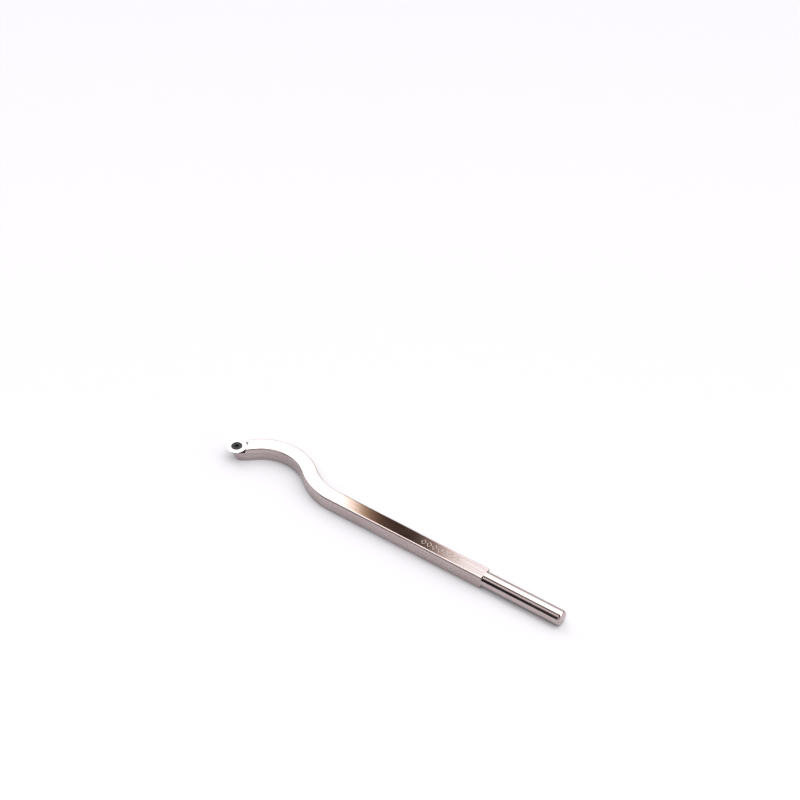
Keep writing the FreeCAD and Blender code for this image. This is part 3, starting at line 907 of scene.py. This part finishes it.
height = add(tree, "ShaderNodeMix", {0: on_tang, 2: lengthwise["Height"], 3: turned["Height"]},
             data_type="FLOAT").outputs[0]
bump = add(tree, "ShaderNodeBump", {"Strength": 0.35, "Distance": 0.01 * MM, "Height": height})
tree.links.new(bump.outputs["Normal"], shader["Normal"])

base = blend(tree, lengthwise["Tone"], DARK_STEEL, LIGHT_STEEL)
base = blend(tree, sums(tree, "MULTIPLY", clouds["Cloud"], 0.3), base, FILMED_STEEL)
base = blend(tree, sums(tree, "MULTIPLY", wear, 0.5), base, WORN_STEEL)
# Painted shade: the seat is darkened where it lies in the cutter's shade.
base = blend(tree, seat_dull_and_shaded, base, SEAT_PAINTED_SHADE)
base = blend(tree, groove, base, FROSTED_STEEL)
tree.links.new(base, shader["Base Color"])

rough = span(tree, upright, 0.02, 0.2, SIDE_ROUGH, TOP_ROUGH)
rough = add(tree, "ShaderNodeMix", {0: on_tang, 2: rough, 3: TANG_ROUGH},
            data_type="FLOAT").outputs[0]
rough = sums(tree, "MULTIPLY_ADD", clouds["Cloud"], 0.05, rough)
rough = sums(tree, "MULTIPLY_ADD", clouds["Speck"], 0.04, rough)
rough = sums(tree, "MULTIPLY_ADD", wear, -0.06, rough)
rough = add(tree, "ShaderNodeMix", {0: sums(tree, "MAXIMUM", groove, seat_dull_and_shaded), 2: rough,
                                    3: DULL_ROUGH}, data_type="FLOAT").outputs[0]
tree.links.new(rough, shader["Roughness"])
shader["Metallic"].default_value = 1.0
print("bar steel has %d nodes" % len(tree.nodes))

# %% [markdown]
# ### Carbide
#
# The disc is diamond-ground: rings run round its top, fainter than the lines round its
# flank. The coordinates are turned into radius and level, so that the same ground lines
# follow the circle.

# %% Helper for pieces on the cutter's axis


def round_place(tree):
    """The place, the radius from the cutter's axis and the level."""
    place = add(tree, "ShaderNodeTexCoord").outputs["Object"]
    shifted = add(tree, "ShaderNodeMapping", {"Vector": place, "Location": (-cutter_x, 0, 0)})
    parts = add(tree, "ShaderNodeSeparateXYZ", {0: shifted.outputs[0]}).outputs
    flat = add(tree, "ShaderNodeCombineXYZ", {"X": parts["X"], "Y": parts["Y"]}).outputs[0]
    radius = add(tree, "ShaderNodeVectorMath", {0: flat}, operation="LENGTH").outputs["Value"]
    return place, radius, parts["Z"]


# %% Carbide
GREY_CARBIDE, PALE_CARBIDE = (0.56, 0.55, 0.54, 1), (0.64, 0.63, 0.62, 1)
HONED_CARBIDE = (0.86, 0.86, 0.86, 1)
CARBIDE_TOP_ROUGH, CARBIDE_FLANK_ROUGH = 0.1, 0.26
tree, shader = new_finish("polished_carbide", cutter)
place, radius, level = round_place(tree)
ring_run = add(tree, "ShaderNodeCombineXYZ", {"Y": radius, "Z": level}).outputs[0]
rings = use(tree, ground_lines, {"Run": ring_run, "Pitch": 0.05 * MM, "Streak": 1.0})
clouds = use(tree, handled, {"Place": place})
wear = use(tree, worn_edges, {
    "Place": place, "From one face": sums(tree, "SUBTRACT", cutter_radius, radius),
    "From the other": sums(tree, "SUBTRACT", cutter_top, level), "Width": 0.25 * MM})["Wear"]
on_top = span(tree, level, cutter_top - 0.06 * MM, cutter_top - 0.03 * MM)
bump = add(tree, "ShaderNodeBump", {"Strength": 0.3, "Distance": 0.004 * MM,
                                    "Height": rings["Height"]})
tree.links.new(bump.outputs["Normal"], shader["Normal"])
base = blend(tree, rings["Tone"], GREY_CARBIDE, PALE_CARBIDE)
base = blend(tree, sums(tree, "MULTIPLY", wear, 0.5), base, HONED_CARBIDE)
tree.links.new(base, shader["Base Color"])
rough = add(tree, "ShaderNodeMix", {0: on_top, 2: CARBIDE_FLANK_ROUGH, 3: CARBIDE_TOP_ROUGH},
            data_type="FLOAT").outputs[0]
rough = sums(tree, "MULTIPLY_ADD", clouds["Cloud"], 0.05, rough)
tree.links.new(rough, shader["Roughness"])
shader["Metallic"].default_value = 1.0
print("carbide has %d nodes" % len(tree.nodes))

# %% [markdown]
# ### Blackened screw
#
# Black oxide is a thin, slightly oily skin. The key rubs it through round the socket and
# the head's rim, where the steel shows as a dull brown-grey line.

# %% Black oxide
BLACK_OXIDE, GREY_OXIDE = (0.007, 0.007, 0.007, 1), (0.014, 0.013, 0.013, 1)
RUBBED_STEEL = (0.16, 0.145, 0.13, 1)
OXIDE_ROUGH = 0.38
tree, shader = new_finish("black_oxide", screw)
place, radius, level = round_place(tree)
ring_run = add(tree, "ShaderNodeCombineXYZ", {"Y": radius, "Z": level}).outputs[0]
rings = use(tree, ground_lines, {"Run": ring_run, "Pitch": 0.07 * MM, "Streak": 1.0})
clouds = use(tree, handled, {"Place": place})
wear = use(tree, worn_edges, {
    "Place": place, "From one face": sums(tree, "SUBTRACT", head_radius, radius),
    "From the other": sums(tree, "SUBTRACT", head_top, level), "Width": 0.22 * MM})["Wear"]
bump = add(tree, "ShaderNodeBump", {"Strength": 0.4, "Distance": 0.01 * MM,
                                    "Height": rings["Height"]})
tree.links.new(bump.outputs["Normal"], shader["Normal"])
base = blend(tree, clouds["Cloud"], BLACK_OXIDE, GREY_OXIDE)
base = blend(tree, sums(tree, "MULTIPLY", wear, 0.5), base, RUBBED_STEEL)
tree.links.new(base, shader["Base Color"])
rough = sums(tree, "MULTIPLY_ADD", clouds["Speck"], 0.1, OXIDE_ROUGH)
tree.links.new(rough, shader["Roughness"])
tree.links.new(sums(tree, "MULTIPLY", wear, 0.6), shader["Metallic"])
shader["Specular IOR Level"].default_value = 0.15
print("black oxide has %d nodes" % len(tree.nodes))

# %% [markdown]
# ## Studio
#
# The tool lies on a pale floor of plain paper. The camera looks down on it from the side
# that the nose points to. A long lens keeps the bar's two ends alike in size.

# %% Camera
LOOK_DOWN, BAR_TURN = math.radians(42.46), math.radians(35.21)
AIM = Vector((0.1749, -0.1345, -half_bar))  # a spot on the floor, in mid-view
CAMERA_DISTANCE, LENS, SENSOR = 1.5596, 81.86, 36.0
camera_data = bpy.data.cameras.new("studio_camera")
camera_data.lens, camera_data.sensor_width = LENS, SENSOR
camera = bpy.data.objects.new("studio_camera", camera_data)
bpy.context.scene.collection.objects.link(camera)
camera.rotation_euler = (math.pi / 2 - LOOK_DOWN, 0, math.pi + BAR_TURN)
facing = camera.rotation_euler.to_matrix() @ Vector((0, 0, -1))
camera.location = AIM - facing * CAMERA_DISTANCE
bpy.context.scene.camera = camera
print("camera at", [round(value, 3) for value in camera.location])

# %% Floor
FLOOR_SIZE, PAPER = 30, (0.345, 0.338, 0.352, 1)
start_clean()
bpy.ops.mesh.primitive_plane_add(size=FLOOR_SIZE, location=(0, 0, -half_bar))
floor = named("studio_floor")
tree, shader = new_finish("studio_paper", floor)
shader["Base Color"].default_value = PAPER
shader["Roughness"].default_value = 0.9
shader["Specular IOR Level"].default_value = 0.2

# %% [markdown]
# The lamps are a tunnel of soft boxes along the bar. Seen along it, they are bands that
# start low behind the tool, pass overhead and end towards the camera: a wide bright one, a
# thin gap, a smaller warm one, and the dark room. Polished round steel shows these bands as
# stripes, so the world is drawn as that tunnel. The dark room is seen only between the
# window's two sides. Elsewhere low on the camera's side stands a grey wall, so that the bar
# doesn't mirror a black hole when it is looked at from behind.

# %% Soft boxes
BANDS = [  # degrees up from the far horizon, brightness, tint
    (0, 0.30, "cool"), (12, 0.36, "cool"), (17, 1.2, "cool"), (36, 1.7, "cool"),
    (42, 3.0, "cool"), (64, 3.1, "cool"), (71, 4.0, "cool"), (74, 6.0, "cool"),
    (84, 6.0, "cool"), (89, 2.4, "cool"), (95, 1.2, "cool"), (99, 0.14, "cool"),
    (112, 0.14, "warm"), (117, 1.25, "warm"), (136, 1.15, "warm"), (141, 0.008, "warm"),
    (177, 0.008, "warm"), (180, 0.08, "warm")]
TINTS = {"cool": (1.0, 1.0, 1.0), "warm": (1.0, 0.93, 0.95)}
BRIGHTEST = 6.0
ROOM, WALL = (0.006, 0.005, 0.005, 1), (0.088, 0.084, 0.086, 1)
# Each pair is where a soft border begins and ends. The first three are of a direction's X.
HANDLE_END, WINDOW_LEFT, WINDOW_RIGHT = (-0.25, 0.05), (0.20, 0.30), (0.70, 0.60)
WALL_TOP = 0.71, 0.78  # of the way from the far horizon to the near one


def set_stops(ramp, colours):
    """Give a Color Ramp one stop for each (position, colour) pair."""
    stops = ramp.color_ramp.elements
    while len(stops) < len(colours):
        stops.new(0.5)
    for stop, (position, colour) in zip(stops, colours):
        stop.position, stop.color = position, [*colour, 1]


world = bpy.data.worlds.new("studio_world")
world.use_nodes = True
tree = world.node_tree
way = add(tree, "ShaderNodeSeparateXYZ", {0: add(tree, "ShaderNodeTexCoord").outputs["Generated"]})
away = sums(tree, "MULTIPLY", way.outputs["Y"], -1.0)
turn_up = sums(tree, "ARCTAN2", way.outputs["Z"], away)
half_way = sums(tree, "DIVIDE", turn_up, math.pi)
ramp = add(tree, "ShaderNodeValToRGB", {"Fac": half_way})
set_stops(ramp, [
    (angle / 180, [part * brightness / BRIGHTEST for part in TINTS[tint]])
    for angle, brightness, tint in BANDS])
near_box = sums(tree, "LESS_THAN", half_way, 0.5)
to_handle_end = span(tree, way.outputs["X"], *HANDLE_END)
lit = sums(tree, "MAXIMUM", near_box, to_handle_end)
boxes = blend(tree, lit, ROOM, ramp.outputs["Color"])
in_window = sums(tree, "MULTIPLY", span(tree, way.outputs["X"], *WINDOW_LEFT),
                 span(tree, way.outputs["X"], *WINDOW_RIGHT))
low_and_near = span(tree, half_way, *WALL_TOP)
walled = sums(tree, "MULTIPLY", low_and_near, sums(tree, "SUBTRACT", 1.0, in_window))
boxes = blend(tree, walled, boxes, WALL)
background = tree.nodes["Background"].inputs
tree.links.new(boxes, background["Color"])
background["Strength"].default_value = BRIGHTEST
bpy.context.scene.world = world
bpy.context.scene.view_settings.view_transform = "Standard"
print("the tunnel has", len(BANDS), "stops")

# %% [markdown]
# The soft boxes alone would leave a heavy shadow in front of the bar. A fill lamp above the
# camera softens it. It is hidden from reflections, so the steel's dark stripes stay dark.

# %% Fill lamp
FILL_SIZE, FILL_RADIANCE, FILL_DISTANCE = 5.2, 6.0, 6.0
FILL_ELEVATION = math.radians(62)
BAR_MIDDLE = Vector((0.09, 0, 0))
lamp_data = bpy.data.lights.new("fill_lamp", "AREA")
lamp_data.shape, lamp_data.size = "SQUARE", FILL_SIZE
lamp_data.energy = FILL_RADIANCE * math.pi * FILL_SIZE ** 2
fill_lamp = bpy.data.objects.new("fill_lamp", lamp_data)
bpy.context.scene.collection.objects.link(fill_lamp)
back_level = Vector((-facing.x, -facing.y, 0)).normalized()
fill_way = back_level * math.cos(FILL_ELEVATION) + Vector((0, 0, math.sin(FILL_ELEVATION)))
fill_lamp.location = BAR_MIDDLE + fill_way * FILL_DISTANCE
fill_lamp.rotation_euler = fill_way.to_track_quat("Z", "Y").to_euler()
fill_lamp.visible_glossy = False
print("fill lamp gives %.0f W" % lamp_data.energy)

# %% [markdown]
# A flag is a card that stands just out of view for the metal to mirror. A plain white
# surround leaves polished steel flat and lifeless, so one warm brown card, pale at both
# edges, stands behind the bar. Its blurred mirror image darkens part of the polished top
# face. Only reflections see it, because its own shape and shadow aren't wanted.

# %% Brown flag
FLAG_DISTANCE, FLAG_WIDTH, FLAG_LOW, FLAG_HIGH = 0.15, 0.14, 0.03, 0.30
FLAG_FOOT = Vector((0.0565, 0, 0))
level_facing = Vector((facing.x, facing.y, 0)).normalized()
start_clean()
bpy.ops.mesh.primitive_plane_add(size=1, rotation=(math.pi / 2, 0, 0))
flag = named("brown_flag")
flag.scale = (FLAG_WIDTH, FLAG_HIGH - FLAG_LOW, 1)
apply_place(flag)
flag.rotation_euler.z = math.pi + BAR_TURN
flag.location = FLAG_FOOT + level_facing * FLAG_DISTANCE
flag.location.z = (FLAG_HIGH + FLAG_LOW) / 2
apply_place(flag)
for ray in ("camera", "diffuse", "transmission", "volume_scatter", "shadow"):
    setattr(flag, "visible_" + ray, False)

flag_finish = bpy.data.materials.new("brown_card")
flag_finish.use_nodes = True
tree = flag_finish.node_tree
tree.nodes.remove(tree.nodes["Principled BSDF"])
across_flag = add(tree, "ShaderNodeSeparateXYZ", {
    0: add(tree, "ShaderNodeTexCoord").outputs["Generated"]}).outputs["X"]
ramp = add(tree, "ShaderNodeValToRGB", {"Fac": across_flag})
SHADES = [  # from the tang's side to the nose's side
    (0.0, (2.0, 2.1, 2.15)), (0.20, (1.9, 1.95, 1.95)), (0.32, (1.3, 1.17, 1.08)),
    (0.38, (0.75, 0.60, 0.53)), (0.44, (0.30, 0.21, 0.175)), (0.49, (0.11, 0.068, 0.050)),
    (0.56, (0.058, 0.029, 0.018)), (0.66, (0.066, 0.032, 0.018)),
    (0.75, (0.13, 0.070, 0.040)), (0.82, (0.32, 0.20, 0.12)), (0.88, (0.95, 0.73, 0.48)),
    (0.94, (2.2, 2.0, 1.75)), (1.0, (2.8, 2.7, 2.5))]
set_stops(ramp, SHADES)
glow = add(tree, "ShaderNodeEmission", {"Color": ramp.outputs["Color"], "Strength": 1.0})
tree.links.new(glow.outputs[0], tree.nodes["Material Output"].inputs["Surface"])
flag.data.materials.append(flag_finish)
print("flag stands at", [round(value, 3) for value in FLAG_FOOT + level_facing * FLAG_DISTANCE])
